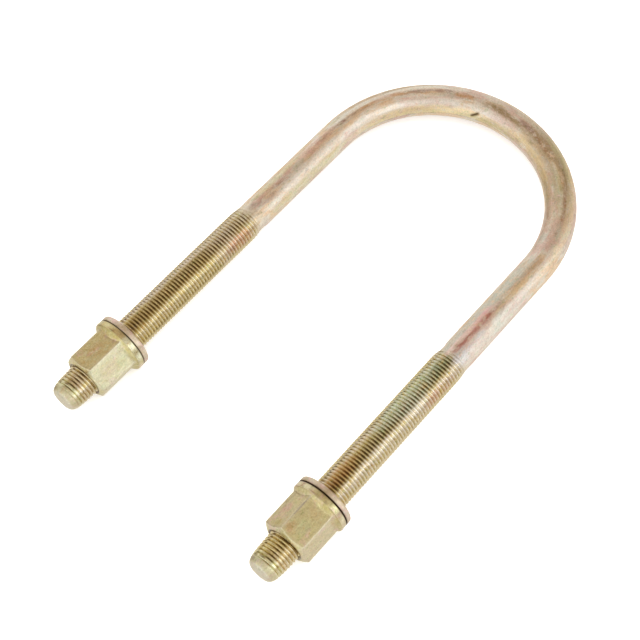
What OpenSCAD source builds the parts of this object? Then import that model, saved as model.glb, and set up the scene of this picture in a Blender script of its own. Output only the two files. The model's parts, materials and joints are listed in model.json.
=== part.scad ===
// U-bolt with a collar nut and a flat washer on each threaded leg, lying flat.
// The origin is the centre of the bend, on the rod's centre line. The legs run along -Y from
// the bend to their tips, +X goes from the left leg to the right one, and +Z is up.

/* [Rod] */
// Diameter of the plain rod
shank_d = 13; // [12.7:0.1:13.3]
// Distance between the centre lines of the two legs
leg_spacing = 105; // [60:1:160]
// Straight length of the left leg, from its tip to the start of the bend
left_leg = 164; // [150:1:220]
// Straight length of the right leg, from its tip to the start of the bend
right_leg = 167; // [150:1:220]
// Diameter of the flat end face of each tip
tip_d = 9.4; // [8:0.2:11]
// Length of the taper that leads from the end face to the thread
tip_taper = 2.2; // [1:0.1:4]

/* [Thread] */
// Outer diameter of the thread
thread_d = 14; // [13.8:0.05:14.1]
// Distance from one thread crest to the next
pitch = 1.5; // [1.25:0.25:2]
// Threaded length of the left leg, from its tip
left_thread = 110; // [80:0.5:140]
// Threaded length of the right leg, from its tip
right_thread = 114.5; // [80:0.5:140]
// Diameter of the narrow neck where the thread runs out
neck_d = 12.5; // [12.2:0.1:12.7]
// Length of the neck, with its slope up to the plain rod
neck_length = 3; // [2:0.5:5]

/* [Nuts] */
// Width of the hexagon across its flats
nut_flats = 19; // [18.5:0.1:19.5]
// Height of the whole nut, collar included
nut_height = 21; // [18:0.5:26]
// Diameter of the flat ring on the nut's outer end
nut_face_d = 16.8; // [16:0.1:18]
// Slope of the chamfer round the nut's outer end, in degrees from the end face
nut_chamfer = 30; // [20:1:35]
// Outer diameter of the collar
collar_d = 24; // [23:0.5:26]
// Height of the upright band round the collar
collar_band = 2.6; // [1.5:0.1:4]
// Height of the shoulder that slopes from the band up to the flats
collar_slope = 1.9; // [1:0.1:3]
// Gap all round between the thread's crests and the nut's bore
thread_play = 0.05; // [0.02:0.01:0.1]
// How far the left tip stands out of its nut
left_standout = 12.4; // [5:0.2:30]
// How far the right tip stands out of its nut
right_standout = 14.2; // [5:0.2:30]
// Turn of the left hexagon about its leg, in degrees
left_nut_angle = 8; // [0:1:59]
// Turn of the right hexagon about its leg, in degrees
right_nut_angle = 41; // [0:1:59]

/* [Washers] */
// Outer diameter of each washer
washer_d = 24; // [20:0.5:28]
// Diameter of the hole in each washer
washer_hole = 15; // [14.4:0.1:16]
// Thickness of each washer
washer_t = 2.5; // [1.5:0.1:4]
// Gap between a collar and the washer that lies against it
washer_gap = 0.2; // [0:0.05:0.5]
// Width of the bevel on the washer's outer edges
washer_bevel = 0.35; // [0.1:0.05:0.6]

/* [Hidden] */
$fn = 96;

// 60 degree thread: crest and root flats are an eighth and a quarter of the pitch
thread_depth = 5 / 8 * cos(30) * pitch;
crest_flat = pitch / 8;
root_flat = pitch / 4;
crest_r = thread_d / 2;
root_r = crest_r - thread_depth;
shank_r = shank_d / 2;
neck_r = neck_d / 2;

bend_r = leg_spacing / 2;
left_x = -bend_r;
right_x = bend_r;
hex_r = nut_flats / 2 / cos(30);
countersink = 0.6;
collar_bevel = 0.3;
washer_hole_bevel = 0.2;

left_nut_y = -left_leg + left_standout;
right_nut_y = -right_leg + right_standout;

// One groove of the thread, as [radius, height] points up its two flanks
function groove(middle) = [
    [crest_r, middle - (pitch - crest_flat) / 2],
    [root_r, middle - root_flat / 2],
    [root_r, middle + root_flat / 2],
    [crest_r, middle + (pitch - crest_flat) / 2]
];

// Half outline of one leg, from its tip at height 0 to the start of the bend
function leg_outline(length, threaded) =
    let (count = floor((threaded - tip_taper) / pitch))
    let (last = tip_taper + count * pitch)
    concat(
        [[0, 0], [tip_d / 2, 0], [crest_r, tip_taper]],
        [for (i = [0 : count - 1]) each groove(tip_taper + (i + 0.5) * pitch)],
        [
            [crest_r, last],
            [neck_r, last + crest_r - neck_r],
            [neck_r, threaded + neck_length * 2 / 3],
            [shank_r, threaded + neck_length],
            [shank_r, length],
            [0, length]
        ]
    );

// Stands a shape that was drawn along +Z on a leg's centre line, heading for the bend
module on_leg(x, y) {
    translate([x, y, 0])
        rotate([-90, 0, 0])
            children();
}

module leg(x, length, threaded) {
    on_leg(x, -length)
        rotate_extrude()
            polygon(leg_outline(length, threaded));
}

// Bent round rod with rings of thread on both legs
module u_rod() {
    color("#c9b48c") {
        leg(left_x, left_leg, left_thread);
        leg(right_x, right_leg, right_thread);
        rotate_extrude(angle = 180)
            translate([bend_r, 0])
                circle(r = shank_r);
    }
}

// Hexagon with a chamfered outer end, before the bore
module nut_hexagon(angle) {
    chamfer_rise = (hex_r + 1 - nut_face_d / 2) * tan(nut_chamfer);
    intersection() {
        rotate([0, 0, -angle])
            cylinder(r = hex_r, h = nut_height - collar_band, $fn = 6);
        rotate_extrude()
            polygon([
                [0, 0],
                [nut_face_d / 2, 0],
                [hex_r + 1, chamfer_rise],
                [hex_r + 1, nut_height],
                [0, nut_height]
            ]);
    }
}

// Collar with its sloping shoulder, at the nut's inner end
module nut_collar() {
    rotate_extrude()
        polygon([
            [0, nut_height - collar_band - collar_slope],
            [nut_flats / 2 - 0.3, nut_height - collar_band - collar_slope],
            [collar_d / 2 - collar_bevel, nut_height - collar_band - collar_bevel / 2],
            [collar_d / 2, nut_height - collar_band + collar_bevel],
            [collar_d / 2, nut_height - collar_bevel],
            [collar_d / 2 - collar_bevel, nut_height],
            [0, nut_height]
        ]);
}

// Bore with a countersink at each end
module nut_bore() {
    bore_r = crest_r + thread_play;
    translate([0, 0, -1])
        cylinder(r = bore_r, h = nut_height + 2);
    translate([0, 0, -0.01])
        cylinder(r1 = bore_r + countersink, r2 = bore_r, h = countersink);
    translate([0, 0, nut_height - countersink + 0.01])
        cylinder(r1 = bore_r, r2 = bore_r + countersink, h = countersink);
}

module collar_nut(x, y, angle) {
    color("#b9a96b")
        on_leg(x, y)
            difference() {
                union() {
                    nut_hexagon(angle);
                    nut_collar();
                }
                nut_bore();
            }
}

module left_nut() {
    collar_nut(left_x, left_nut_y, left_nut_angle);
}

module right_nut() {
    collar_nut(right_x, right_nut_y, right_nut_angle);
}

// Flat ring with bevelled edges, against the collar of the nut at y
module washer(x, y) {
    outer_r = washer_d / 2;
    hole_r = washer_hole / 2;
    color("#cbb795")
        on_leg(x, y + nut_height + washer_gap)
            rotate_extrude()
                polygon([
                    [hole_r, washer_hole_bevel],
                    [hole_r + washer_hole_bevel, 0],
                    [outer_r - washer_bevel, 0],
                    [outer_r, washer_bevel],
                    [outer_r, washer_t - washer_bevel],
                    [outer_r - washer_bevel, washer_t],
                    [hole_r + washer_hole_bevel, washer_t],
                    [hole_r, washer_t - washer_hole_bevel]
                ]);
}

module left_washer() {
    washer(left_x, left_nut_y);
}

module right_washer() {
    washer(right_x, right_nut_y);
}

u_rod();
left_nut();
right_nut();
left_washer();
right_washer();
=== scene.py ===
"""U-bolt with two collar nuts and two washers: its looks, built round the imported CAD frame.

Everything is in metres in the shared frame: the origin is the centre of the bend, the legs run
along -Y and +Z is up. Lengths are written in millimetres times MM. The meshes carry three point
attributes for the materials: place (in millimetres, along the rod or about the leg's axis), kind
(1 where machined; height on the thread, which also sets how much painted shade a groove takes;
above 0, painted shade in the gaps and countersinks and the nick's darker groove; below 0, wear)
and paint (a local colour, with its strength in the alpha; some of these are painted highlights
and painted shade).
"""

import json
import math

import bmesh
import bpy
import numpy as np
from mathutils import Matrix, Vector, noise


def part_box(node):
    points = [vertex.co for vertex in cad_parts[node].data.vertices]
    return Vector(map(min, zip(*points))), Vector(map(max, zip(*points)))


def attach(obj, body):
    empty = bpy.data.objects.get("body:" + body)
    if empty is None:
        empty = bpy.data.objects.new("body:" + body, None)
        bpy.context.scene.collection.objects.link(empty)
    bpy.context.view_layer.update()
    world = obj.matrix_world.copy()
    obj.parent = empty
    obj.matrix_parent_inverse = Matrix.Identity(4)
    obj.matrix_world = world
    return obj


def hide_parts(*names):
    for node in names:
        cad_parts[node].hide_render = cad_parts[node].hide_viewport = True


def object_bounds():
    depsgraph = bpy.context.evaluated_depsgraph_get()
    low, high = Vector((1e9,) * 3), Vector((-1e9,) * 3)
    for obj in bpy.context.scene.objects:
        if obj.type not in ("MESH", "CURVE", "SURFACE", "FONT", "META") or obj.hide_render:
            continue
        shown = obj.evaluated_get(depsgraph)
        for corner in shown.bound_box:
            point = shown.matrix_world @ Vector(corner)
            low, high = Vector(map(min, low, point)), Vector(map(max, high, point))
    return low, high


MM = 0.001
TURN = 2 * math.pi

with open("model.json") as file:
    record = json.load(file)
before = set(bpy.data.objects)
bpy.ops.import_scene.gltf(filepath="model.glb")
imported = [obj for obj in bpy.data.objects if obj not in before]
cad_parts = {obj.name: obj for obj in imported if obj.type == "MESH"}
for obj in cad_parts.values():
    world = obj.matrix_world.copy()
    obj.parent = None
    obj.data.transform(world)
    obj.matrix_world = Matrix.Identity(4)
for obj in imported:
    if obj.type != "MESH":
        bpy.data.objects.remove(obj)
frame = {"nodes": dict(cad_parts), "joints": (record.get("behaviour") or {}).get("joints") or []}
cad_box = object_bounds()


# ---------------------------------------------------------------- dimensions

def joint(name):
    return next(j for j in frame["joints"] if j["name"] == name)


def tip_of(side):
    """Y of the free end of the leg on that side (-1 left, 1 right), read from the CAD rod."""
    return min(v.co.y for v in frame["nodes"]["u_rod"].data.vertices if v.co.x * side > 0)


SIDES = {"left": -1, "right": 1}
PITCH = 1.5 * MM
THREAD_R = 7.0 * MM
THREAD_DEPTH = 5 / 8 * math.cos(math.radians(30)) * PITCH
SHANK_R = 6.5 * MM
NECK_R = 6.25 * MM
BEND_R = joint("right_nut_turn")["pos_m"][0]
TIP_Y = {name: tip_of(side) for name, side in SIDES.items()}
THREADED = {"left": 110 * MM, "right": 114.5 * MM}
ARC = math.pi * BEND_R
ROD_LENGTH = ARC - TIP_Y["left"] - TIP_Y["right"]

NUT_FLATS = 19 * MM
NUT_HEIGHT = 21 * MM
NUT_FACE_R = 8.4 * MM
NUT_CHAMFER = math.tan(math.radians(30))
NUT_CORNER_R = 0.45 * MM
CORNER_R = 11 * MM
CORNER_WEAR = 0.5 * MM
COLLAR_R = 12 * MM
COLLAR_BAND = 2.6 * MM
COLLAR_SLOPE = 1.9 * MM
BORE_PLAY = 0.1 * MM
COUNTERSINK_R = 7.7 * MM
HEXAGON_TURN = {"left": math.radians(8), "right": math.radians(41)}

# How dark the painted shade is in the gap between the collar and the washer
GAP_SHADE = {"left": 0.53, "right": 1.0}

WASHER_R = 12 * MM
WASHER_HOLE_R = 7.5 * MM

# One turn of the thread: station as a share of the pitch, height from root to crest.
# Rolling rounds the crests and leaves narrower grooves between them.
STATIONS = np.array([0, 0.13, 0.26, 0.38, 0.5, 0.62, 0.74, 0.87])
PROFILE = np.stack([STATIONS, 1 - np.sin(math.pi * STATIONS) ** 4], -1)


# ---------------------------------------------------------------- mesh tools

# How far one seed moves the lumps of a mesh's noise and of a material's noise
MESH_SEED_STEP = (17.3, -9.1, 4.7)
NODE_SEED_STEP = (13.7, 5.1, -8.3)


def smooth(x):
    """0 below 0, 1 above 1, with a soft rise between."""
    x = np.clip(x, 0, 1)
    return x * x * (3 - 2 * x)


def hill(distance, width):
    """1 in the middle, falling off softly over about that width on both sides."""
    return np.exp(-(distance / width) ** 2)


def wrapped(angle):
    """The same angle, from minus half a turn to half a turn."""
    return np.arctan2(np.sin(angle), np.cos(angle))


def rough(points, size, seed):
    """Smooth noise between about -1 and 1 at each point, with lumps of that size."""
    shift = Vector([step * seed for step in MESH_SEED_STEP])
    flat = points.reshape(-1, 3) / size
    values = [noise.noise(Vector(p) + shift) for p in flat]
    return np.array(values).reshape(points.shape[:-1])


class Shell:
    """Collects grids of points with their attributes, and makes one mesh of them."""

    def __init__(self):
        self.points, self.place, self.kind, self.paint, self.faces = [], [], [], [], []
        self.count = 0

    def grid(self, points, place, kind, paint, shift=0):
        """Adds rows x columns points as a tube.

        The last column joins the first one, shift rows further on.
        """
        rows, columns = points.shape[:2]
        row, column = np.meshgrid(np.arange(rows - 1), np.arange(columns), indexing="ij")
        over = np.where(column == columns - 1, shift, 0)
        fits = (row + over >= 0) & (row + over + 1 < rows)
        row, column, over = row[fits], column[fits], over[fits]
        beside = (column + 1) % columns
        quads = np.stack([
            row * columns + column,
            (row + over) * columns + beside,
            (row + over + 1) * columns + beside,
            (row + 1) * columns + column,
        ], -1)
        self.faces.append(quads + self.count)
        self.points.append(points.reshape(-1, 3))
        self.place.append(place.reshape(-1, 3) / MM)
        self.kind.append(kind.reshape(-1, 3))
        self.paint.append(paint.reshape(-1, 4))
        self.count += rows * columns

    def mesh(self, name):
        """The collected grids as one mesh, which close() joins where they meet."""
        data = bpy.data.meshes.new(name)
        points = np.concatenate(self.points)
        data.from_pydata(points.tolist(), [], np.concatenate(self.faces).tolist())
        for label, form, values in (
            ("place", "FLOAT_VECTOR", self.place),
            ("kind", "FLOAT_VECTOR", self.kind),
            ("paint", "FLOAT_COLOR", self.paint),
        ):
            layer = data.attributes.new(label, form, "POINT")
            field = "color" if form == "FLOAT_COLOR" else "vector"
            layer.data.foreach_set(field, np.concatenate(values).astype(np.float32).ravel())
        return data


def close(data, sharpest, work=None):
    """Joins the grids of a mesh where they meet, lets work change it, and shades it smooth."""
    bm = bmesh.new()
    bm.from_mesh(data)
    bmesh.ops.remove_doubles(bm, verts=bm.verts, dist=0.002 * MM)
    bmesh.ops.dissolve_degenerate(bm, edges=bm.edges, dist=0.001 * MM)
    if work:
        work(bm)
    bmesh.ops.recalc_face_normals(bm, faces=bm.faces)
    bm.to_mesh(data)
    bm.free()
    data.polygons.foreach_set("use_smooth", np.ones(len(data.polygons), bool))
    data.set_sharp_from_angle(angle=math.radians(sharpest))


def helix(first, last, angles, hand, phase=0.0):
    """Rows that follow a screw thread between two stations, ending flat against both.

    Gives how far along each point is, and how high on the thread it is.
    """
    turns = np.arange(math.floor(first / PITCH) - 2, math.ceil(last / PITCH) + 3)
    station = (turns[:, None] + PROFILE[:, 0]).ravel() + phase
    height = np.tile(PROFILE[:, 1], len(turns))
    along = PITCH * (station[:, None] + hand * angles / TURN)
    return np.clip(along, first, last), np.broadcast_to(height[:, None], along.shape)


def rounded(corners, radii, steps=4, spacing=1.2 * MM):
    """Outlines (corner, column, 2) with each inner corner rounded and long stretches divided."""
    corners = [np.asarray(c, float) for c in corners]
    pieces = [corners[0][None]]
    for before, corner, after, radius in zip(corners, corners[1:], corners[2:], radii):
        into, out = before - corner, after - corner
        into_length = np.linalg.norm(into, axis=-1, keepdims=True)
        out_length = np.linalg.norm(out, axis=-1, keepdims=True)
        cut = np.minimum(radius, 0.45 * np.minimum(into_length, out_length))
        start = corner + into / into_length * cut
        end = corner + out / out_length * cut
        gone = np.linspace(0, 1, steps + 1)[:, None, None]
        left = 1 - gone
        pieces.append(left ** 2 * start + 2 * gone * left * corner + gone ** 2 * end)
    pieces.append(corners[-1][None])
    rows = [pieces[0]]
    for piece in pieces[1:]:
        gap = np.linalg.norm(piece[0] - rows[-1][-1], axis=-1).max()
        inner = np.linspace(0, 1, math.ceil(gap / spacing) + 1)[1:-1, None, None]
        rows.append(rows[-1][-1] * (1 - inner) + piece[0] * inner)
        rows.append(piece)
    return np.concatenate(rows)


def ring_corners(corners, angles):
    """Radius and height of each corner at every angle; either may change with the angle."""
    still = 0 * angles
    return [np.stack([radius + still, height + still], -1) for radius, height in corners]


def blank_paint(shape):
    return np.zeros(shape + (4,))


def lay(paint, tint, share):
    """Lays a tint over the paint, whose colours are held times their strength for now."""
    share = share[..., None]
    paint[..., :3] = paint[..., :3] * (1 - share) + np.array(tint) * share
    paint[..., 3:] = paint[..., 3:] * (1 - share) + share


def settled(paint):
    """The paint once every tint is laid, with its colours no longer times their strength."""
    paint[..., :3] /= np.maximum(paint[..., 3:], 1e-6)
    return paint


# ---------------------------------------------------------------- rod

ROD_SIDES = 60
SHANK_ROWS = 226
RUN_OUT = 6.0 * MM
NECK = 3 * MM

# Largest radius near the tip: distance from the tip, radius
TIP_OUTLINE = np.array([
    (0, 4.0), (0.1, 4.4), (0.3, 4.85), (0.7, 5.3), (1.3, 5.7),
    (2, 6.0), (2.8, 6.3), (5, 6.65), (9, 6.88), (13, 7),
]) * MM
TIP_DOME = 0.12 * MM
TIP_RINGS = np.array([1, 0.93, 0.7, 0.4, 0])

# The thread is cut a little deeper near the tip, and looks machined from this radius on
TIP_DEEPER = 0.2 * MM
TIP_DEEPER_LENGTH = 10 * MM
THREAD_START_R = 6.2 * MM

# The bend is a little thicker than the legs, most of all on top and underneath
BEND_SWELL = 0.15 * MM
BEND_EASE = 20 * MM

# Unevenness of the drawn surface: height and size of its waves
WAVE_HEIGHT = 0.03 * MM
WAVE_SIZE = 5 * MM

# Nick in the bend: where it starts and ends along the bend, and at what angles round the rod
NICK_ALONG = (65.5 * MM, 70.0 * MM)
NICK_ANGLES = (math.radians(174), math.radians(146))
NICK_DEPTH = 0.6 * MM
NICK_WIDTH = 0.7 * MM

# How far past its ends and its middle line the mesh is made finer, and its lip's share of its depth
NICK_MARGIN = (2 * MM, 2.2 * MM)
LIP_HEIGHT = 0.25


def rod_point(along, radius, angle):
    """Point of the rod, along its centre line from the left tip.

    An angle of 0 faces out of the U, and a quarter turn faces up.
    """
    bend_start = -TIP_Y["left"]
    turn = np.clip((along - bend_start) / BEND_R, 0, math.pi)
    out = np.stack([-np.cos(turn), np.sin(turn), np.zeros_like(turn)], -1)
    straight = np.minimum(along - bend_start, 0) - np.maximum(along - bend_start - ARC, 0)
    middle = BEND_R * out + straight[..., None] * np.array([0, 1, 0])
    up = np.array([0, 0, 1])
    ring = np.cos(angle)[..., None] * out + np.sin(angle)[..., None] * up
    return middle + radius[..., None] * ring


def rod_place(along, angle):
    """Place of a point as if the rod were straightened out along Y."""
    return np.stack([SHANK_R * np.cos(angle), along, SHANK_R * np.sin(angle)], -1)


def linear(red, green, blue):
    """Linear colour of a screen colour given as 0 to 255."""
    shares = np.array([red, green, blue]) / 255
    curve = ((shares + 0.055) / 1.055) ** 2.4
    return tuple(np.where(shares <= 0.04045, shares / 12.92, curve))


GOLD = linear(216, 206, 160)
OLIVE = linear(206, 197, 142)
STRAW = linear(222, 206, 152)
CHAMPAGNE = linear(226, 213, 190)
TAUPE = linear(150, 136, 116)
SAGE = linear(158, 166, 130)
ZINC = linear(226, 226, 228)
BLOOM = linear(250, 224, 214)
ROSE = linear(232, 204, 190)
LIME = linear(226, 220, 176)
AQUA = linear(214, 222, 208)
SAND = linear(218, 200, 170)
PEACH = linear(240, 212, 178)
LEMON = linear(234, 228, 182)
# HIGHLIGHT_ICE: painted highlight along the rod
HIGHLIGHT_ICE = linear(236, 230, 220)
AMBER = linear(218, 194, 146)
OCHRE = linear(208, 188, 138)
# SHADE_BRONZE: painted shade along the threads
SHADE_BRONZE = linear(166, 142, 96)
UMBER = linear(184, 162, 128)
FROST = linear(239, 232, 218)
SILVER = linear(230, 220, 206)
MAUVE = linear(242, 200, 196)
STONE = linear(214, 215, 202)
HONEY = linear(246, 226, 182)
BARE = linear(246, 243, 230)
# STAIN_AND_SHADE: real stains, and a painted dark reflection down one nut's corner
STAIN_AND_SHADE = linear(128, 102, 80)
# ROOT: colour of the thread grooves, partly their dirt and partly painted shade
ROOT = linear(104, 82, 50)
# DIRT_AND_SHADE: painted shade in the gaps and countersinks, and the darker groove of the nick
DIRT_AND_SHADE = linear(72, 44, 6)
BROWN = linear(176, 140, 108)
PINK = linear(226, 188, 170)
RED = linear(186, 122, 106)
ORANGE = linear(216, 162, 108)
PURPLE = linear(182, 152, 142)
GREY = linear(210, 204, 186)
PALE = linear(236, 229, 208)
TIP = linear(224, 222, 182)
FACE = linear(226, 222, 198)
GREEN = linear(206, 206, 164)
TAN = linear(212, 192, 136)
PEARL = linear(228, 228, 200)
MOSS = linear(220, 210, 152)
BUTTER = linear(244, 232, 186)
BUFF = linear(222, 204, 172)
BLUSH = linear(220, 204, 176)
MUSTARD = linear(200, 188, 124)
RUST = linear(206, 158, 112)
MINT = linear(208, 214, 168)
SANDY = linear(222, 196, 150)
TEAL = linear(220, 228, 204)

# Patches of colour on the rod: most are the film's colour, and some are painted highlights and
# painted shade, marked below. Each one has the distance of its middle from the tip of its leg or
# from the start of the bend, its angle round the rod (0 faces out of the U, 90 up), half its length
# and half its width, then its colour and strength.
LEFT_MARKS = [
    (9, 90, 6, 30, CHAMPAGNE, 0.6),
    (2, 90, 4, 30, TIP, 0.9),
    (8, 143, 5, 1.2, BARE, 0.4),
    (7, 174, 7, 2.0, UMBER, 0.4),
    (0, 90, 0.8, 30, FACE, 0.95),
    # painted shade: the dark band along the left thread
    (62, 96, 36, 3.0, SHADE_BRONZE, 0.5),
    (66, 58, 42, 2.0, SILVER, 0.8),
    (66, 175, 42, 1.5, TAUPE, 0.4),
    # painted highlight along the left thread
    (66, 140, 42, 2.4, PALE, 0.6),
    (96, 112, 14, 9.0, CHAMPAGNE, 0.5),
    (98, 150, 9, 3.0, PINK, 0.6),
    (107, 112, 5, 20, PALE, 0.6),
    (114, 88, 4.5, 1.8, PURPLE, 0.6),
    (117, 82, 4.5, 1.3, PINK, 0.8),
    (120, 112, 4, 1.4, PURPLE, 0.4),
    (122, 79, 2.2, 1.0, ORANGE, 0.9),
    (127, 89, 5, 1.2, BROWN, 0.7),
    (140, 80, 22, 1.8, ROSE, 0.7),
    (134, 84, 3, 1.4, PINK, 0.7),
    (139, 94, 4, 1.4, GREY, 0.8),
    (149, 93, 5, 1.6, PINK, 0.8),
    (157, 90, 5, 1.3, PINK, 0.8),
    (160, 84, 8, 1.2, BROWN, 0.35),
    (140, 162, 26, 2.2, LIME, 0.7),
    (128, 70, 15, 1.5, LIME, 0.6),
    # painted highlight along the left shank
    (142, 126, 26, 2.4, HIGHLIGHT_ICE, 0.7),
]
BEND_MARKS = [
    # painted highlight along the bend
    (38, 139, 44, 2.3, HIGHLIGHT_ICE, 0.75),
    (50, 162, 46, 2.0, HONEY, 0.8),
    (75, 172, 20, 1.2, OLIVE, 0.6),
    (26, 60, 16, 1.2, BROWN, 0.3),
    (82, 109, 13, 1.3, UMBER, 0.9),
    (110, 152, 24, 2.6, AMBER, 0.6),
    (140, 55, 26, 2.4, HONEY, 0.5),
    (18, 82, 24, 1.6, ROSE, 0.6),
    (7, 92, 8, 1.2, BROWN, 0.5),
    (4, 94, 1.8, 0.8, PURPLE, 0.9),
    (17, 88, 5, 1.2, ORANGE, 0.6),
    (33, 86, 5, 1.2, ORANGE, 0.6),
    (42, 88, 6, 1.2, PURPLE, 0.8),
    (51, 89, 5, 1.0, PURPLE, 0.8),
    (54, 109, 5, 1.3, GREY, 0.6),
    (61, 100, 5, 1.2, ORANGE, 0.7),
    (72, 124, 9, 1.2, FROST, 0.6),
    (77, 103, 6, 1.6, UMBER, 0.8),
    (118, 100, 32, 9.0, OCHRE, 0.4),
    (102, 90, 13, 2.2, UMBER, 0.85),
    (92, 96, 6, 1.0, PURPLE, 0.7),
    (104, 100, 8, 1.0, BROWN, 0.7),
    (104, 130, 12, 2.6, BUFF, 0.5),
    (108, 148, 24, 1.8, HONEY, 0.7),
    (94, 66, 12, 1.8, PALE, 0.6),
    (112, 60, 14, 2.2, LIME, 0.8),
    (121, 80, 10, 1.6, UMBER, 0.7),
    (126, 104, 12, 2.0, GREEN, 0.4),
    (137, 82, 9, 0.8, BROWN, 0.7),
    (150, 96, 7, 1.8, PINK, 0.5),
    (26, 58, 24, 1.3, UMBER, 0.5),
    (12, 79, 14, 1.2, BARE, 0.9),
    (40, 122, 10, 1.2, UMBER, 0.25),
    (40, 75, 15, 1.2, BARE, 0.8),
    (36, 173, 32, 1.2, BUTTER, 0.7),
    (148, 138, 14, 1.4, BROWN, 0.3),
]
RIGHT_MARKS = [
    (9, 90, 6, 30, STRAW, 0.6),
    (9, 36, 7, 4.0, CHAMPAGNE, 0.6),
    (2, 90, 4, 30, TIP, 0.9),
    (0, 90, 0.8, 30, FACE, 0.95),
    # painted shade: the dark band along the right thread
    (54, 78, 24, 2.6, SHADE_BRONZE, 0.55),
    (56, 124, 28, 2.0, SILVER, 0.7),
    (70, 10, 42, 1.8, SILVER, 0.4),
    # painted highlight along the right thread
    (72, 40, 40, 2.8, PALE, 0.85),
    (47, 96, 9, 3.0, ORANGE, 0.35),
    (70, 70, 16, 5.0, GREEN, 0.3),
    (89, 104, 22, 4.6, TEAL, 0.85),
    # painted highlight along the right thread
    (64, 50, 44, 2.2, FROST, 0.8),
    (99, 30, 10, 2.6, PINK, 0.5),
    (111, 90, 5, 20, PALE, 0.5),
    # painted highlight near the end of the right thread
    (110, 44, 12, 3.4, HIGHLIGHT_ICE, 0.6),
    (115, 62, 6, 3.4, ZINC, 0.8),
    (126, 105, 14, 3.4, MAUVE, 0.95),
    (120, 110, 12, 2.0, BLOOM, 0.95),
    (116, 92, 3, 1.3, RED, 0.6),
    (105, 88, 7, 2.4, SAGE, 0.6),
    (126, 60, 5, 1.6, ZINC, 0.7),
    (131, 45, 4, 1.6, PEACH, 0.8),
    (121, 88, 4, 0.9, RED, 0.7),
    (130, 85, 9, 0.9, RED, 0.6),
    (136, 86, 5, 0.8, RED, 0.6),
    (130, 124, 34, 1.6, STONE, 0.8),
    (147, 112, 9, 2.2, STONE, 0.9),
    (150, 76, 14, 1.2, HONEY, 0.6),
    (158, 106, 10, 1.8, STONE, 0.7),
    (162, 86, 9, 1.2, BROWN, 0.3),
    # painted highlight along the right shank
    (140, 44, 26, 2.4, HIGHLIGHT_ICE, 0.75),
    (132, 20, 18, 2.2, BARE, 0.6),
]


# Square of the distance, in half sizes of a patch, at which its colour has faded out
PATCH_EDGE = 1.4


def rod_patches():
    """Every mark with its middle as a distance along the rod from the left tip."""
    starts = (
        (LEFT_MARKS, 0, 1),
        (BEND_MARKS, -TIP_Y["left"], 1),
        (RIGHT_MARKS, ROD_LENGTH, -1),
    )
    for marks, start, way in starts:
        for middle, angle, length, width, colour, strength in marks:
            centre = start + way * middle * MM
            yield centre, math.radians(angle), length * MM, width * MM, colour, strength


def painted(along, angle):
    """Colour and strength of the patches that reach each point of the rod."""
    paint = blank_paint(along.shape)
    for centre, middle, length, width, colour, strength in rod_patches():
        gap = wrapped(angle - middle) * SHANK_R
        far = ((along - centre) / length) ** 2 + (gap / width) ** 2
        lay(paint, colour, strength * smooth(PATCH_EDGE - far))
    return settled(paint)


# Painted shade in the grooves, partly their dirt, is strongest about this side of each leg, in
# degrees round the rod
GROOVE_SHADE_ANGLE = {"left": 100, "right": 79}
GROOVE_SHADE_SPREAD = 16
GROOVE_SHADE_LEAST = 0.12


def neck_radius(angle):
    """Radius just past the threads: the neck is pressed in deeper on the inside of the U."""
    return NECK_R + 0.1 * MM * (1 + np.cos(angle))


def add_leg(shell, name, angles):
    """Threaded part of one leg with its closed tip."""
    hand = 1 if name == "left" else -1
    length = THREADED[name]
    from_tip, height = helix(0, length, angles, hand)
    angle = np.broadcast_to(angles, from_tip.shape)
    fade = smooth((from_tip - length + RUN_OUT) / RUN_OUT)
    crest = np.interp(from_tip, TIP_OUTLINE[:, 0], TIP_OUTLINE[:, 1])
    deeper = TIP_DEEPER * smooth(1 - from_tip / TIP_DEEPER_LENGTH)
    radius = np.minimum(crest, THREAD_R - (1 - height) * (THREAD_DEPTH + deeper))
    radius = radius * (1 - fade) + neck_radius(angle) * fade
    along = from_tip if name == "left" else ROD_LENGTH - from_tip
    # Painted shade in the grooves: darkest on the side set above, fading round the leg
    groove_shade = hill(np.degrees(angle) - GROOVE_SHADE_ANGLE[name], GROOVE_SHADE_SPREAD)
    groove_shade = GROOVE_SHADE_LEAST + (1 - GROOVE_SHADE_LEAST) * groove_shade
    cut = groove_shade * smooth((crest - radius) / (0.25 * MM)) * (1 - fade)
    threaded = smooth((crest - THREAD_START_R) / (0.3 * MM)) * (1 - fade)
    seen_height = np.where(threaded > 0, 1 - cut * (1 - height), 1)
    kind = np.stack([threaded, seen_height, 0 * along], -1)
    points, place = rod_point(along, radius, angle), rod_place(along, angle)
    shell.grid(points, place, kind, painted(along, angle), hand * len(PROFILE))

    shares = TIP_RINGS[:, None] * np.ones_like(angles)
    angle = np.broadcast_to(angles, shares.shape)
    dome = TIP_DOME * (shares ** 2 - 1)
    along = dome if name == "left" else ROD_LENGTH - dome
    radius = shares * TIP_OUTLINE[0, 1]
    place = rod_place(along, angle)
    place[..., 0] *= shares
    place[..., 2] *= shares
    kind = np.stack([0 * shares, 1 + 0 * shares, 0 * shares], -1)
    paint = blank_paint(along.shape) + np.array(FACE + (0.95,))
    shell.grid(rod_point(along, radius, angle), place, kind, paint)


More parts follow.
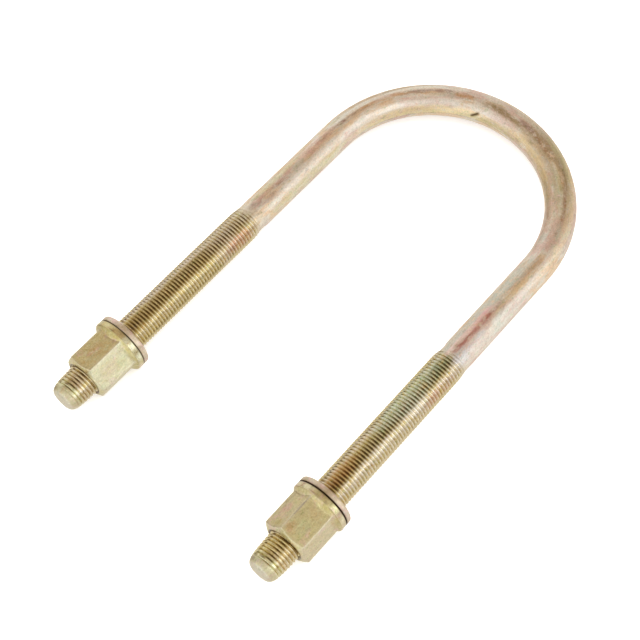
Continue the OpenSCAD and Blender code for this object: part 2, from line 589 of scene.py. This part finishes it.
def add_shank(shell, angles):
    """Plain rod between the two threads: neck, straight, bend, straight, neck."""
    start, end = THREADED["left"], ROD_LENGTH - THREADED["right"]
    neck = np.linspace(0, NECK, 8)
    middle = np.linspace(start + NECK, end - NECK, SHANK_ROWS)[1:-1]
    along = np.concatenate([start + neck, middle, end - neck[::-1]])[:, None] + 0 * angles
    angle = np.broadcast_to(angles, along.shape)
    from_thread = np.minimum(along - start, end - along)
    radius = neck_radius(angle)
    radius = radius + (SHANK_R - radius) * smooth((from_thread - 0.4 * NECK) / (0.6 * NECK))
    bend_start = -TIP_Y["left"]
    bent = smooth((along - bend_start) / BEND_EASE)
    bent = bent * smooth((bend_start + ARC - along) / BEND_EASE)
    radius = radius + bent * BEND_SWELL * (0.4 + 0.6 * np.sin(angle) ** 2)
    place = rod_place(along, angle)
    waves = rough(place * np.array([1, 0.3, 1]), WAVE_SIZE, 1)
    radius = radius + WAVE_HEIGHT * waves * smooth(from_thread / NECK)
    kind = np.stack([0 * along, 1 + 0 * along, 0 * along], -1)
    shell.grid(rod_point(along, radius, angle), place, kind, painted(along, angle))


def nick(bm):
    """Presses a short slanting nick, with a raised lip on one side, into the bend."""
    place = bm.verts.layers.float_vector["place"]
    kind = bm.verts.layers.float_vector["kind"]
    start = np.array([NICK_ALONG[0] - TIP_Y["left"], NICK_ANGLES[0] * SHANK_R])
    end = np.array([NICK_ALONG[1] - TIP_Y["left"], NICK_ANGLES[1] * SHANK_R])
    run = end - start
    length = np.linalg.norm(run)
    run /= length
    across = np.array([-run[1], run[0]])

    def offset(vert):
        x, along, z = vert[place] * MM
        from_start = np.array([along, math.atan2(z, x) * SHANK_R]) - start
        return from_start @ run, from_start @ across

    def near(vert):
        along, side = offset(vert)
        past_end, past_side = NICK_MARGIN
        return -past_end < along < length + past_end and abs(side) < past_side

    edges = [e for e in bm.edges if near(e.verts[0]) and near(e.verts[1])]
    bmesh.ops.subdivide_edges(bm, edges=edges, cuts=3, use_grid_fill=True)
    for vert in bm.verts:
        if not near(vert):
            continue
        along, side = offset(vert)
        ends = smooth(along / MM) * smooth((length - along) / (1.6 * MM))
        groove = ends * hill(side, NICK_WIDTH)
        lip = ends * hill(side - 1.7 * NICK_WIDTH, 0.7 * NICK_WIDTH)
        x, y, z = vert[place] * MM
        angle = np.array(math.atan2(z, x))
        middle = rod_point(np.array(y), np.array(0.0), angle)
        outward = np.array(vert.co) - middle
        outward /= np.linalg.norm(outward)
        vert.co += Vector(outward) * (LIP_HEIGHT * lip - groove) * NICK_DEPTH
        vert[kind] = Vector((vert[kind][0], vert[kind][1], groove - lip))


def make_rod():
    """The whole bent rod with both threads, as one closed mesh."""
    angles = TURN * np.arange(ROD_SIDES) / ROD_SIDES
    shell = Shell()
    add_leg(shell, "left", angles)
    add_shank(shell, angles)
    add_leg(shell, "right", angles)
    data = shell.mesh("bent_rod")
    close(data, 50, nick)
    return bpy.data.objects.new("bent_rod", data)


# ---------------------------------------------------------------- nuts and washers

def about_leg(name, start_y, radius, height, angle):
    """Points about a leg's axis: angle from +X towards +Z, height from start_y towards the bend."""
    x = SIDES[name] * BEND_R + radius * np.cos(angle)
    return np.stack([x, start_y + height, radius * np.sin(angle)], -1)


def turned_place(radius, height, angle):
    """The same points with the axis as Y, for the material."""
    return np.stack([radius * np.cos(angle), height, radius * np.sin(angle)], -1)


def hexagon(angles):
    """Radius of a hexagon with rounded corners at each angle from one of its corners."""
    apothem = NUT_FLATS / 2
    from_flat = np.abs((angles % (TURN / 6)) - TURN / 12)
    corner = (apothem - NUT_CORNER_R) / math.cos(TURN / 12)
    aside = TURN / 12 - from_flat
    inside = NUT_CORNER_R ** 2 - (corner * np.sin(aside)) ** 2
    arc = corner * np.cos(aside) + np.sqrt(np.maximum(inside, 0))
    flat = apothem / np.cos(from_flat)
    tangent = math.atan((apothem - NUT_CORNER_R) * math.tan(TURN / 12) / apothem)
    return np.where(from_flat > tangent, arc, flat)


# Tints of a nut's flats (angle from +X towards +Z, colour, strength), partly the film's colour and
# partly painted light and shade for the way each flat faces, and of the sloping shoulder
FLAT_TINTS = {
    "left": ((98, TAN, 0.85), (38, PEARL, 0.8), (-22, GOLD, 0.5), (158, GOLD, 0.5)),
    "right": ((71, MOSS, 0.6), (131, BUFF, 0.6), (11, BLUSH, 0.7), (-49, GOLD, 0.5)),
}
SHOULDER_TINT = {"left": (MUSTARD, 0.8), "right": (MUSTARD, 0.6)}

# Patches on the flats: angle, height up the nut, half width, half height, colour, strength
FLAT_MARKS = {
    "left": (
        (96, 9, 2.5, 4.0, RUST, 0.35),
        (38, 8, 2.5, 5.0, PINK, 0.25),
        (30, 13, 2.0, 2.5, MINT, 0.5),
    ),
    "right": (
        (88, 4, 2.0, 2.5, RUST, 0.45),
        (70, 7, 2.5, 3.5, MINT, 0.45),
        (72, 14, 3.0, 2.0, SANDY, 0.4),
        (135, 9, 2.5, 3.5, PINK, 0.6),
        (130, 3, 3.5, 2.0, MUSTARD, 0.6),
        (124, 14, 2.5, 2.0, MOSS, 0.5),
        # painted dark reflection: a thin dark line down the corner between the flats at 71 and 131
        (101, 12, 0.3, 4.5, STAIN_AND_SHADE, 0.7),
    ),
}


def nut_paint(name, radius, height, angle, shoulder):
    """Colour and strength of the tints and patches at each point of a nut."""
    paint = blank_paint(radius.shape)
    # Each flat's tint: its film colour together with painted light and shade for that flat
    for middle, tint, strength in FLAT_TINTS[name]:
        apart = np.abs(wrapped(angle - math.radians(middle)))
        on_flat = smooth((math.radians(33) - apart) / math.radians(5))
        lay(paint, tint, 0.85 * strength * on_flat)
    for middle, up, width, tall, tint, strength in FLAT_MARKS[name]:
        aside = wrapped(angle - math.radians(middle)) * NUT_FLATS / 2
        far = (aside / (width * MM)) ** 2 + ((height / MM - up) / tall) ** 2
        lay(paint, tint, strength * smooth(PATCH_EDGE - far))
    tint, strength = SHOULDER_TINT[name]
    band_top = NUT_HEIGHT - COLLAR_BAND
    on_slope = smooth((height - shoulder) / (0.8 * MM))
    on_slope = on_slope * smooth((band_top + 0.2 * MM - height) / (0.4 * MM))
    lay(paint, tint, strength * on_slope)
    return settled(paint)


# Columns of a nut, in degrees from each corner to the middle of a flat: closest round the corner
CORNER_STEPS = [0, 0.4, 0.8, 1.2, 2.5, 6, 11, 16, 21, 26, 30]

# Unevenness of the forged nuts and of the punched washers: depth and size of the dents
NUT_DENT, NUT_DENT_SIZE = 0.025 * MM, 3 * MM
WASHER_DENT, WASHER_DENT_SIZE = 0.03 * MM, 2.5 * MM
WASHER_SIDES = 96


def make_nut(name):
    """Hexagon running down onto a sloping shoulder and a round collar, with a threaded bore."""
    start_y = joint(name + "_nut_turn")["pos_m"][1] - NUT_HEIGHT
    steps = np.radians(CORNER_STEPS)
    sector = np.concatenate([steps, TURN / 6 - steps[-2:0:-1]])
    from_corner = (np.arange(6)[:, None] * TURN / 6 + sector).ravel()
    angles = from_corner + HEXAGON_TURN[name]
    hex_r = hexagon(from_corner)

    band_top = NUT_HEIGHT - COLLAR_BAND
    slope = COLLAR_SLOPE / (COLLAR_R - NUT_FLATS / 2)
    shoulder = band_top - (COLLAR_R - hex_r) * slope
    chamfer = (hex_r - NUT_FACE_R) * NUT_CHAMFER
    corners = [
        (COUNTERSINK_R, 0),
        (NUT_FACE_R, 0),
        (hex_r, chamfer),
        (hex_r, shoulder),
        (COLLAR_R, band_top),
        (COLLAR_R, NUT_HEIGHT),
        (COUNTERSINK_R, NUT_HEIGHT),
    ]
    outline = rounded(ring_corners(corners, angles), np.array([0.25, 0.3, 0.4, 0.6, 0.45]) * MM)
    radius, height = outline[..., 0], outline[..., 1]
    angle = np.broadcast_to(angles, radius.shape)
    dents = rough(turned_place(radius, height, angle), NUT_DENT_SIZE, 3 + SIDES[name])
    radius = radius + NUT_DENT * dents * smooth((radius - COUNTERSINK_R) / MM)

    # Wear on the six corners and where the chamfer meets the flats, past the rows of the end face
    rows = np.arange(len(radius))[:, None] + 0 * angles
    on_wall = smooth((height - 0.3 * MM) / MM) * smooth((shoulder + 0.6 * MM - height) / MM)
    past_corner = np.abs((from_corner + TURN / 12) % (TURN / 6) - TURN / 12)
    corner = hill(past_corner * CORNER_R, CORNER_WEAR)
    worn = np.maximum(corner * on_wall, 0.7 * hill(height - chamfer, 0.3 * MM) * (rows > 5))
    # Painted shade on the collar's face in the gap against the washer, darker on the right nut
    seat_shade = GAP_SHADE[name] * smooth((height - NUT_HEIGHT + 0.55 * MM) / (0.3 * MM))
    turned = smooth((height - band_top) / (0.4 * MM))
    kind = np.stack([turned, 1 + 0 * radius, seat_shade - worn], -1)
    paint = nut_paint(name, radius, height, angle, shoulder)
    shell = Shell()
    points = about_leg(name, start_y, radius, height, angle)
    place = turned_place(radius, height, angle)
    shell.grid(points, place, kind, paint)

    # Angles start on the outer side of the U on the rod, and on +X here: half a turn on, at the left
    phase = 0.5 if name == "left" else 0.0
    nut_phase = phase - (start_y - TIP_Y[name]) / PITCH
    height, thread = helix(0, NUT_HEIGHT, angles, -1, nut_phase)
    angle = np.broadcast_to(angles, height.shape)
    radius = THREAD_R + BORE_PLAY - (1 - thread) * THREAD_DEPTH
    from_end = np.minimum(height, NUT_HEIGHT - height)
    radius = np.maximum(radius, COUNTERSINK_R - from_end)
    # Painted shade inside the nut: the countersink takes the dark gap colour, and the bore's grooves
    # the groove colour
    countersunk = smooth((radius - THREAD_R - 0.15 * MM) / (0.2 * MM))
    kind = np.stack([1 + 0 * radius, 1 - thread, 0.8 * countersunk], -1)
    points = about_leg(name, start_y, radius, height, angle)
    place = turned_place(radius, height, angle)
    shell.grid(points, place, kind, blank_paint(radius.shape), -len(PROFILE))
    data = shell.mesh(name + "_collar_nut")
    close(data, 40)
    return bpy.data.objects.new(name + "_collar_nut", data)


def make_washer(name):
    """Punched ring: rolled over on the side the punch came from, sharper on the other."""
    low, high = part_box(name + "_washer")
    thick = high.y - low.y
    angles = TURN * np.arange(WASHER_SIDES) / WASHER_SIDES
    corners = [
        (WASHER_HOLE_R, thick / 2),
        (WASHER_HOLE_R, 0),
        (WASHER_R, 0),
        (WASHER_R, thick),
        (WASHER_HOLE_R, thick),
        (WASHER_HOLE_R, thick / 2),
    ]
    radii = np.array([0.3, 0.3, 0.8, 0.5]) * MM
    outline = rounded(ring_corners(corners, angles), radii, spacing=0.8 * MM)
    radius, height = outline[..., 0], outline[..., 1]
    angle = np.broadcast_to(angles, radius.shape)
    place = turned_place(radius, height, angle)
    dents = rough(place, WASHER_DENT_SIZE, 7 + SIDES[name])
    radius = radius - WASHER_DENT * (1 + dents) * smooth((radius - WASHER_HOLE_R) / MM)
    rim = hill(radius - WASHER_R, 0.25 * MM)
    at_edge = hill(np.minimum(height, thick - height), 0.35 * MM)
    # Painted shade on the washer's face in the gap against the collar
    seat_shade = GAP_SHADE[name] * smooth((0.42 * MM - height) / (0.25 * MM))
    kind = np.stack([0 * radius, 1 + 0 * radius, seat_shade - 0.8 * rim * at_edge * (1 - seat_shade)], -1)
    shell = Shell()
    points = about_leg(name, low.y, radius, height, angle)
    shell.grid(points, place, kind, blank_paint(radius.shape))
    data = shell.mesh(name + "_flat_washer")
    close(data, 40)
    return bpy.data.objects.new(name + "_flat_washer", data)


# ---------------------------------------------------------------- materials

class Graph:
    """Short calls for building a shader's nodes."""

    def __init__(self, tree):
        self.tree = tree
        tree.nodes.clear()

    def add(self, kind, *values, out=0, **named):
        """Adds a node and gives one of its outputs.

        Inputs are set in order or by name, and the node's own settings by name.
        """
        node = self.tree.nodes.new(kind)
        for key, value in named.items():
            if key in node.inputs:
                self.put(node.inputs[key], value)
            else:
                setattr(node, key, value)
        for socket, value in zip([s for s in node.inputs if s.enabled], values):
            self.put(socket, value)
        return node.outputs[out] if node.outputs else None

    def put(self, socket, value):
        if isinstance(value, bpy.types.NodeSocket):
            self.tree.links.new(value, socket)
        elif value is not None:
            socket.default_value = value

    def math(self, operation, *values, clamp=False):
        return self.add("ShaderNodeMath", *values, operation=operation, use_clamp=clamp)

    def vector(self, operation, *values, out=0):
        return self.add("ShaderNodeVectorMath", *values, operation=operation, out=out)

    def range(self, value, low, high, to_low=0.0, to_high=1.0, soft=True):
        limits = low, high, to_low, to_high
        kind = "SMOOTHSTEP" if soft else "LINEAR"
        return self.add("ShaderNodeMapRange", value, *limits, interpolation_type=kind)

    def noise(self, place, size, seed=0, detail=3.0, rough=0.55, stretch=(1, 1, 1)):
        """Noise from 0 to 1, with lumps of that many millimetres, longer on an axis by stretch."""
        scaled = self.vector("MULTIPLY", place, tuple(1 / (size * way) for way in stretch))
        moved = self.vector("ADD", scaled, tuple(step * seed for step in NODE_SEED_STEP))
        looks = {"Scale": 1.0, "Detail": detail, "Roughness": rough}
        return self.add("ShaderNodeTexNoise", Vector=moved, **looks)

    def mix(self, share, a, b, blend="MIX"):
        node = self.tree.nodes.new("ShaderNodeMix")
        node.data_type = "RGBA"
        node.blend_type = blend
        for name, value in (("Factor_Float", share), ("A_Color", a), ("B_Color", b)):
            socket = next(s for s in node.inputs if s.identifier == name)
            if isinstance(value, tuple) and len(value) == 3:
                value = value + (1.0,)
            self.put(socket, value)
        return next(s for s in node.outputs if s.identifier == "Result_Color")

    def ramp(self, value, stops):
        node = self.tree.nodes.new("ShaderNodeValToRGB")
        self.put(node.inputs[0], value)
        ramp = node.color_ramp
        for index, (position, colour) in enumerate(stops):
            if index < 2:
                stop = ramp.elements[index]
                stop.position = position
            else:
                stop = ramp.elements.new(position)
            stop.color = tuple(colour) + (1.0,)
        return node.outputs[0]


def new_material(name):
    material = bpy.data.materials.new(name)
    material.use_nodes = True
    return material, Graph(material.node_tree)


# What small specks of the film multiply its colour by: reddish where low, greenish where high
SPECKS = [
    (0.28, (0.95, 0.78, 0.64)),
    (0.42, (1, 1, 1)),
    (0.56, (1, 1, 1)),
    (0.7, (0.72, 0.84, 0.68)),
]
BUMP_HEIGHT = 0.07 * MM


def plating(name, tones, seed, film_size=9.0, film_stretch=(1, 3, 1), streak=0.3, stains=0.5,
            thread_tones=None, roughness=0.36, smoother=-0.17):
    """Yellow zinc plating: a thin film whose colour drifts, over drawn or forged steel.

    Sizes are in millimetres. Machined surfaces are smoother, and have thread_tones if given.
    """
    material, graph = new_material(name)
    place = graph.add("ShaderNodeAttribute", attribute_name="place", out=1)
    kind = graph.add("ShaderNodeAttribute", attribute_name="kind", out=1)
    paint = graph.add("ShaderNodeAttribute", attribute_name="paint", out=0)
    paint_share = paint.node.outputs[3]
    parts = graph.add("ShaderNodeSeparateXYZ", kind).node.outputs
    machined, height, dark_and_worn = parts[0], parts[1], parts[2]

    # Colour of the film, drawn out in lines, under the patches with their ragged edges; some patches
    # are painted highlights and painted shade
    film = graph.noise(place, film_size, seed, detail=4, stretch=film_stretch)
    lines = graph.noise(place, 0.9, seed + 1, detail=4, rough=0.7, stretch=(1, 14, 1))
    thick = graph.math("MULTIPLY_ADD", graph.math("SUBTRACT", lines, 0.5), streak, film)
    thick = graph.range(thick, 0.2, 0.8, soft=False)
    colour = graph.ramp(thick, tones)
    if thread_tones:
        colour = graph.mix(machined, colour, graph.ramp(thick, thread_tones))
    ragged = graph.noise(place, 1.6, seed + 2, detail=5, rough=0.75, stretch=(1, 1.8, 1))
    local = graph.math("MULTIPLY", paint_share, graph.range(ragged, 0.3, 0.56), clamp=True)
    colour = graph.mix(local, colour, paint)

    # Stains, grain, lines and specks
    blots = graph.noise(place, 3.2, seed + 3, detail=5, rough=0.65, stretch=(1, 2.2, 1))
    stained = graph.math("MULTIPLY", graph.range(blots, 0.56, 0.72), stains)
    colour = graph.mix(stained, colour, STAIN_AND_SHADE)
    grain = graph.noise(place, 0.6, seed + 4, detail=3, rough=0.6)
    shade = graph.range(grain, 0.25, 0.75, 0.79, 1.13, soft=False)
    shade = graph.math("MULTIPLY", shade, graph.range(lines, 0.3, 0.7, 0.9, 1.05, soft=False))
    grey = graph.add("ShaderNodeCombineXYZ", shade, shade, shade)
    colour = graph.mix(1.0, colour, grey, "MULTIPLY")
    specks = graph.noise(place, 1.3, seed + 7, detail=5, rough=0.7, stretch=(1, 1.6, 1))
    colour = graph.mix(1.0, colour, graph.ramp(specks, SPECKS), "MULTIPLY")

    # Grooves of the thread darkened, partly by their dirt and partly as painted shade; bright worn
    # edges; and, above 0 in the kind's third value, painted shade in the gaps and countersinks and
    # the nick's darker groove
    depth = graph.math("MULTIPLY", graph.range(height, 1.0, 0.0), machined)
    colour = graph.mix(graph.math("MULTIPLY", depth, 0.6), colour, ROOT)
    worn = graph.math("MULTIPLY", dark_and_worn, -1.0)
    worn = graph.math("MULTIPLY", worn, graph.range(grain, 0.2, 0.5, 0.5, 1), clamp=True)
    colour = graph.mix(graph.math("MULTIPLY", worn, 0.3), colour, BARE)
    darkened_share = graph.math("MAXIMUM", dark_and_worn, 0.0, clamp=True)
    colour = graph.mix(graph.math("MULTIPLY", darkened_share, 0.9), colour, DIRT_AND_SHADE)

    # Roughness, and the relief of pits, lines and grain
    matt = graph.noise(place, 1.6, seed + 5, detail=5, stretch=(1, 2.5, 1))
    matt = graph.range(matt, 0.3, 0.7, roughness - 0.04, roughness + 0.06, soft=False)
    matt = graph.math("MULTIPLY_ADD", machined, smoother, matt)
    matt = graph.math("MULTIPLY_ADD", stained, 0.15, matt, clamp=True)
    bumps = graph.math("MULTIPLY_ADD", lines, 0.5, graph.math("MULTIPLY", grain, 0.5))
    pits = graph.noise(place, 1.7, seed + 6, detail=5, rough=0.6, stretch=(1, 1.6, 1))
    relief = graph.math("MULTIPLY_ADD", pits, 3.0, bumps)
    relief = graph.math("MULTIPLY", relief, graph.range(machined, 0.0, 1.0, 1.0, 0.3))
    normal = graph.add("ShaderNodeBump", Strength=1.0, Distance=BUMP_HEIGHT, Height=relief)
    shader = graph.tree.nodes.new("ShaderNodeBsdfPrincipled")
    shader.inputs["Metallic"].default_value = 1.0
    shader.inputs["Specular Tint"].default_value = (1.0, 0.97, 0.92, 1.0)
    graph.put(shader.inputs["Base Color"], colour)
    graph.put(shader.inputs["Roughness"], matt)
    graph.put(shader.inputs["Normal"], normal)
    graph.add("ShaderNodeOutputMaterial", shader.outputs[0])
    return material


def finish_piece(piece, node, body, material):
    """Puts a piece in the scene in place of its CAD node, on its body, with its material."""
    bpy.context.scene.collection.objects.link(piece)
    piece.data.materials.append(material)
    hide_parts(node)
    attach(piece, body)


# ---------------------------------------------------------------- stage

PAPER_REACH = 3.0
PAPER_GAP = 0.02 * MM
PAPER_GLOW = 0.3

# Brightness of the tent's walls, and what is added about a direction: azimuth from -Y towards +X,
# elevation and spread in degrees, then the light there, which is darker where it is below 0
WALLS = 0.96
DARKEST = 0.03
PANELS = (
    (77, 32, 11, 1.95),
    (115, 23, 8, 1.6),
    (64, 21, 50, -0.36),
    (0, 2, 17, 1.0),
    (12, -16, 6, 1.3),
    (-7, -13, 7, -3.9),
    (-78, 52, 13, -0.85),
    (-113, 20, 14, 0.13),
    (-80, -12, 10, -1.7),
    (118, -28, 10, 0.6),
    (178, 19, 12, -1.0),
    (185, 63, 17, -0.45),
)

# The light is warmer where it is darker
TENT_TINTS = [(0.0, (1.5, 1.0, 0.6)), (0.5, (1.2, 1.0, 0.82)), (1.0, (1.0, 1.0, 1.0))]

LAMP_POWER = 17.0
LAMP_SIZE = 1.2
LAMP_PLACE = (0.1, -0.1, 1.0)

# Azimuth from -Y towards +X, elevation and roll in degrees, then where the camera aims and from
# how far, in millimetres
CAMERA_ANGLES = (43.8, 60.33, -3.62)
CAMERA_AIM = (0.96, -72.97, 0)
CAMERA_DISTANCE = 585.46
CAMERA_LENS = 83.1


def add_floor():
    """Pale paper that the collars and washers rest on."""
    ground = cad_box[0][2] - PAPER_GAP
    data = bpy.data.meshes.new("paper")
    sides = (-1, -1), (1, -1), (1, 1), (-1, 1)
    corners = [(x * PAPER_REACH, y * PAPER_REACH, ground) for x, y in sides]
    data.from_pydata(corners, [], [(0, 1, 2, 3)])
    floor = bpy.data.objects.new("paper", data)
    bpy.context.scene.collection.objects.link(floor)
    material, graph = new_material("white_paper")
    place = graph.add("ShaderNodeTexCoord", out=3)
    fibre = graph.add("ShaderNodeTexNoise", Vector=place, Scale=60.0, Detail=3.0)
    tone = graph.ramp(fibre, [(0.3, linear(246, 246, 245)), (0.7, linear(250, 250, 249))])
    shader = graph.tree.nodes.new("ShaderNodeBsdfPrincipled")
    graph.put(shader.inputs["Base Color"], tone)
    shader.inputs["Roughness"].default_value = 0.9
    shader.inputs["Specular IOR Level"].default_value = 0.1
    shader.inputs["Emission Color"].default_value = (1.0, 1.0, 1.0, 1.0)
    shader.inputs["Emission Strength"].default_value = PAPER_GLOW
    graph.add("ShaderNodeOutputMaterial", shader.outputs[0])
    data.materials.append(material)
    floor.visible_glossy = False


def add_world():
    """Light tent: pale walls with brighter panels on +X and -Y, and darker openings between."""
    world = bpy.data.worlds.new("light_tent")
    bpy.context.scene.world = world
    world.use_nodes = True
    graph = Graph(world.node_tree)
    direction = graph.vector("NORMALIZE", graph.add("ShaderNodeTexCoord", out=0))

    def spot(azimuth, elevation, spread, gain):
        """Light added about one direction, falling off over its spread."""
        around, up = math.radians(azimuth), math.radians(elevation)
        aim = math.sin(around) * math.cos(up), -math.cos(around) * math.cos(up), math.sin(up)
        near = graph.vector("DOT_PRODUCT", direction, aim, out=1)
        sharpness = 1 / math.radians(spread) ** 2
        fall = graph.math("MULTIPLY_ADD", near, sharpness, -sharpness)
        return graph.math("MULTIPLY", graph.math("EXPONENT", fall), gain)

    bright = WALLS
    for panel in PANELS:
        bright = graph.math("ADD", bright, spot(*panel))
    bright = graph.math("MAXIMUM", bright, DARKEST)
    seen = graph.add("ShaderNodeLightPath", out=0)
    tint = graph.ramp(bright, TENT_TINTS)
    light = graph.add("ShaderNodeBackground", tint, bright)
    plain = graph.add("ShaderNodeBackground", (1.0, 1.0, 1.0, 1.0), 1.0)
    graph.add("ShaderNodeOutputWorld", graph.add("ShaderNodeMixShader", seen, light, plain))


def add_lights():
    """Wide overhead light that whitens the paper, unseen in the metal."""
    light = bpy.data.lights.new("overhead", "AREA")
    light.energy = LAMP_POWER
    light.shape = "DISK"
    light.size = LAMP_SIZE
    lamp = bpy.data.objects.new("overhead", light)
    lamp.location = LAMP_PLACE
    lamp.visible_glossy = False
    bpy.context.scene.collection.objects.link(lamp)


def add_camera():
    """Camera at the photo's viewing angle."""
    azimuth, elevation, roll = (math.radians(angle) for angle in CAMERA_ANGLES)
    back = Vector((
        math.sin(azimuth) * math.cos(elevation),
        -math.cos(azimuth) * math.cos(elevation),
        math.sin(elevation),
    ))
    aim = Vector(CAMERA_AIM) * MM
    place = Matrix.Translation(aim + back * CAMERA_DISTANCE * MM)
    turn = back.to_track_quat("Z", "Y").to_matrix().to_4x4() @ Matrix.Rotation(roll, 4, "Z")
    data = bpy.data.cameras.new("camera")
    data.lens = CAMERA_LENS
    data.sensor_width = 36
    data.clip_end = 20
    camera = bpy.data.objects.new("camera", data)
    camera.matrix_world = place @ turn
    bpy.context.scene.collection.objects.link(camera)
    bpy.context.scene.camera = camera


# ---------------------------------------------------------------- scene

# Colours of the film, from where its noise is lowest to where it is highest
SHANK_TONES = [
    (0.0, LEMON), (0.2, FROST), (0.36, PEACH), (0.5, FROST),
    (0.62, ROSE), (0.74, SILVER), (0.88, AQUA), (1.0, FROST),
]
THREAD_TONES = [(0.0, OLIVE), (0.4, STRAW), (0.6, STRAW), (0.8, CHAMPAGNE), (1.0, AQUA)]
NUT_TONES = [(0.0, OLIVE), (0.3, LIME), (0.45, GOLD), (0.6, LIME), (0.75, ROSE), (1.0, MINT)]
WASHER_TONES = [
    (0.0, SILVER), (0.3, SAND), (0.5, CHAMPAGNE), (0.65, ROSE), (0.8, FROST), (1.0, LIME),
]

bpy.context.scene.view_settings.view_transform = "Standard"
add_camera()
add_floor()
add_world()
add_lights()

rod_finish = plating(
    "plated_rod", SHANK_TONES, seed=1, stains=0.25,
    thread_tones=THREAD_TONES, roughness=0.43, smoother=-0.22,
)
finish_piece(make_rod(), "u_rod", "rod", rod_finish)
for name, side in SIDES.items():
    nut, washer = name + "_nut", name + "_washer"
    nut_finish = plating(
        nut + "_plating", NUT_TONES, seed=20 + 7 * side,
        film_size=3.6, film_stretch=(1, 1.3, 1), streak=0.25, stains=0.3,
    )
    finish_piece(make_nut(name), nut, nut, nut_finish)
    washer_finish = plating(
        washer + "_plating", WASHER_TONES, seed=40 + 7 * side,
        film_size=4.0, film_stretch=(1, 1, 1), streak=0.0, stains=0.3,
    )
    finish_piece(make_washer(name), washer, washer, washer_finish)
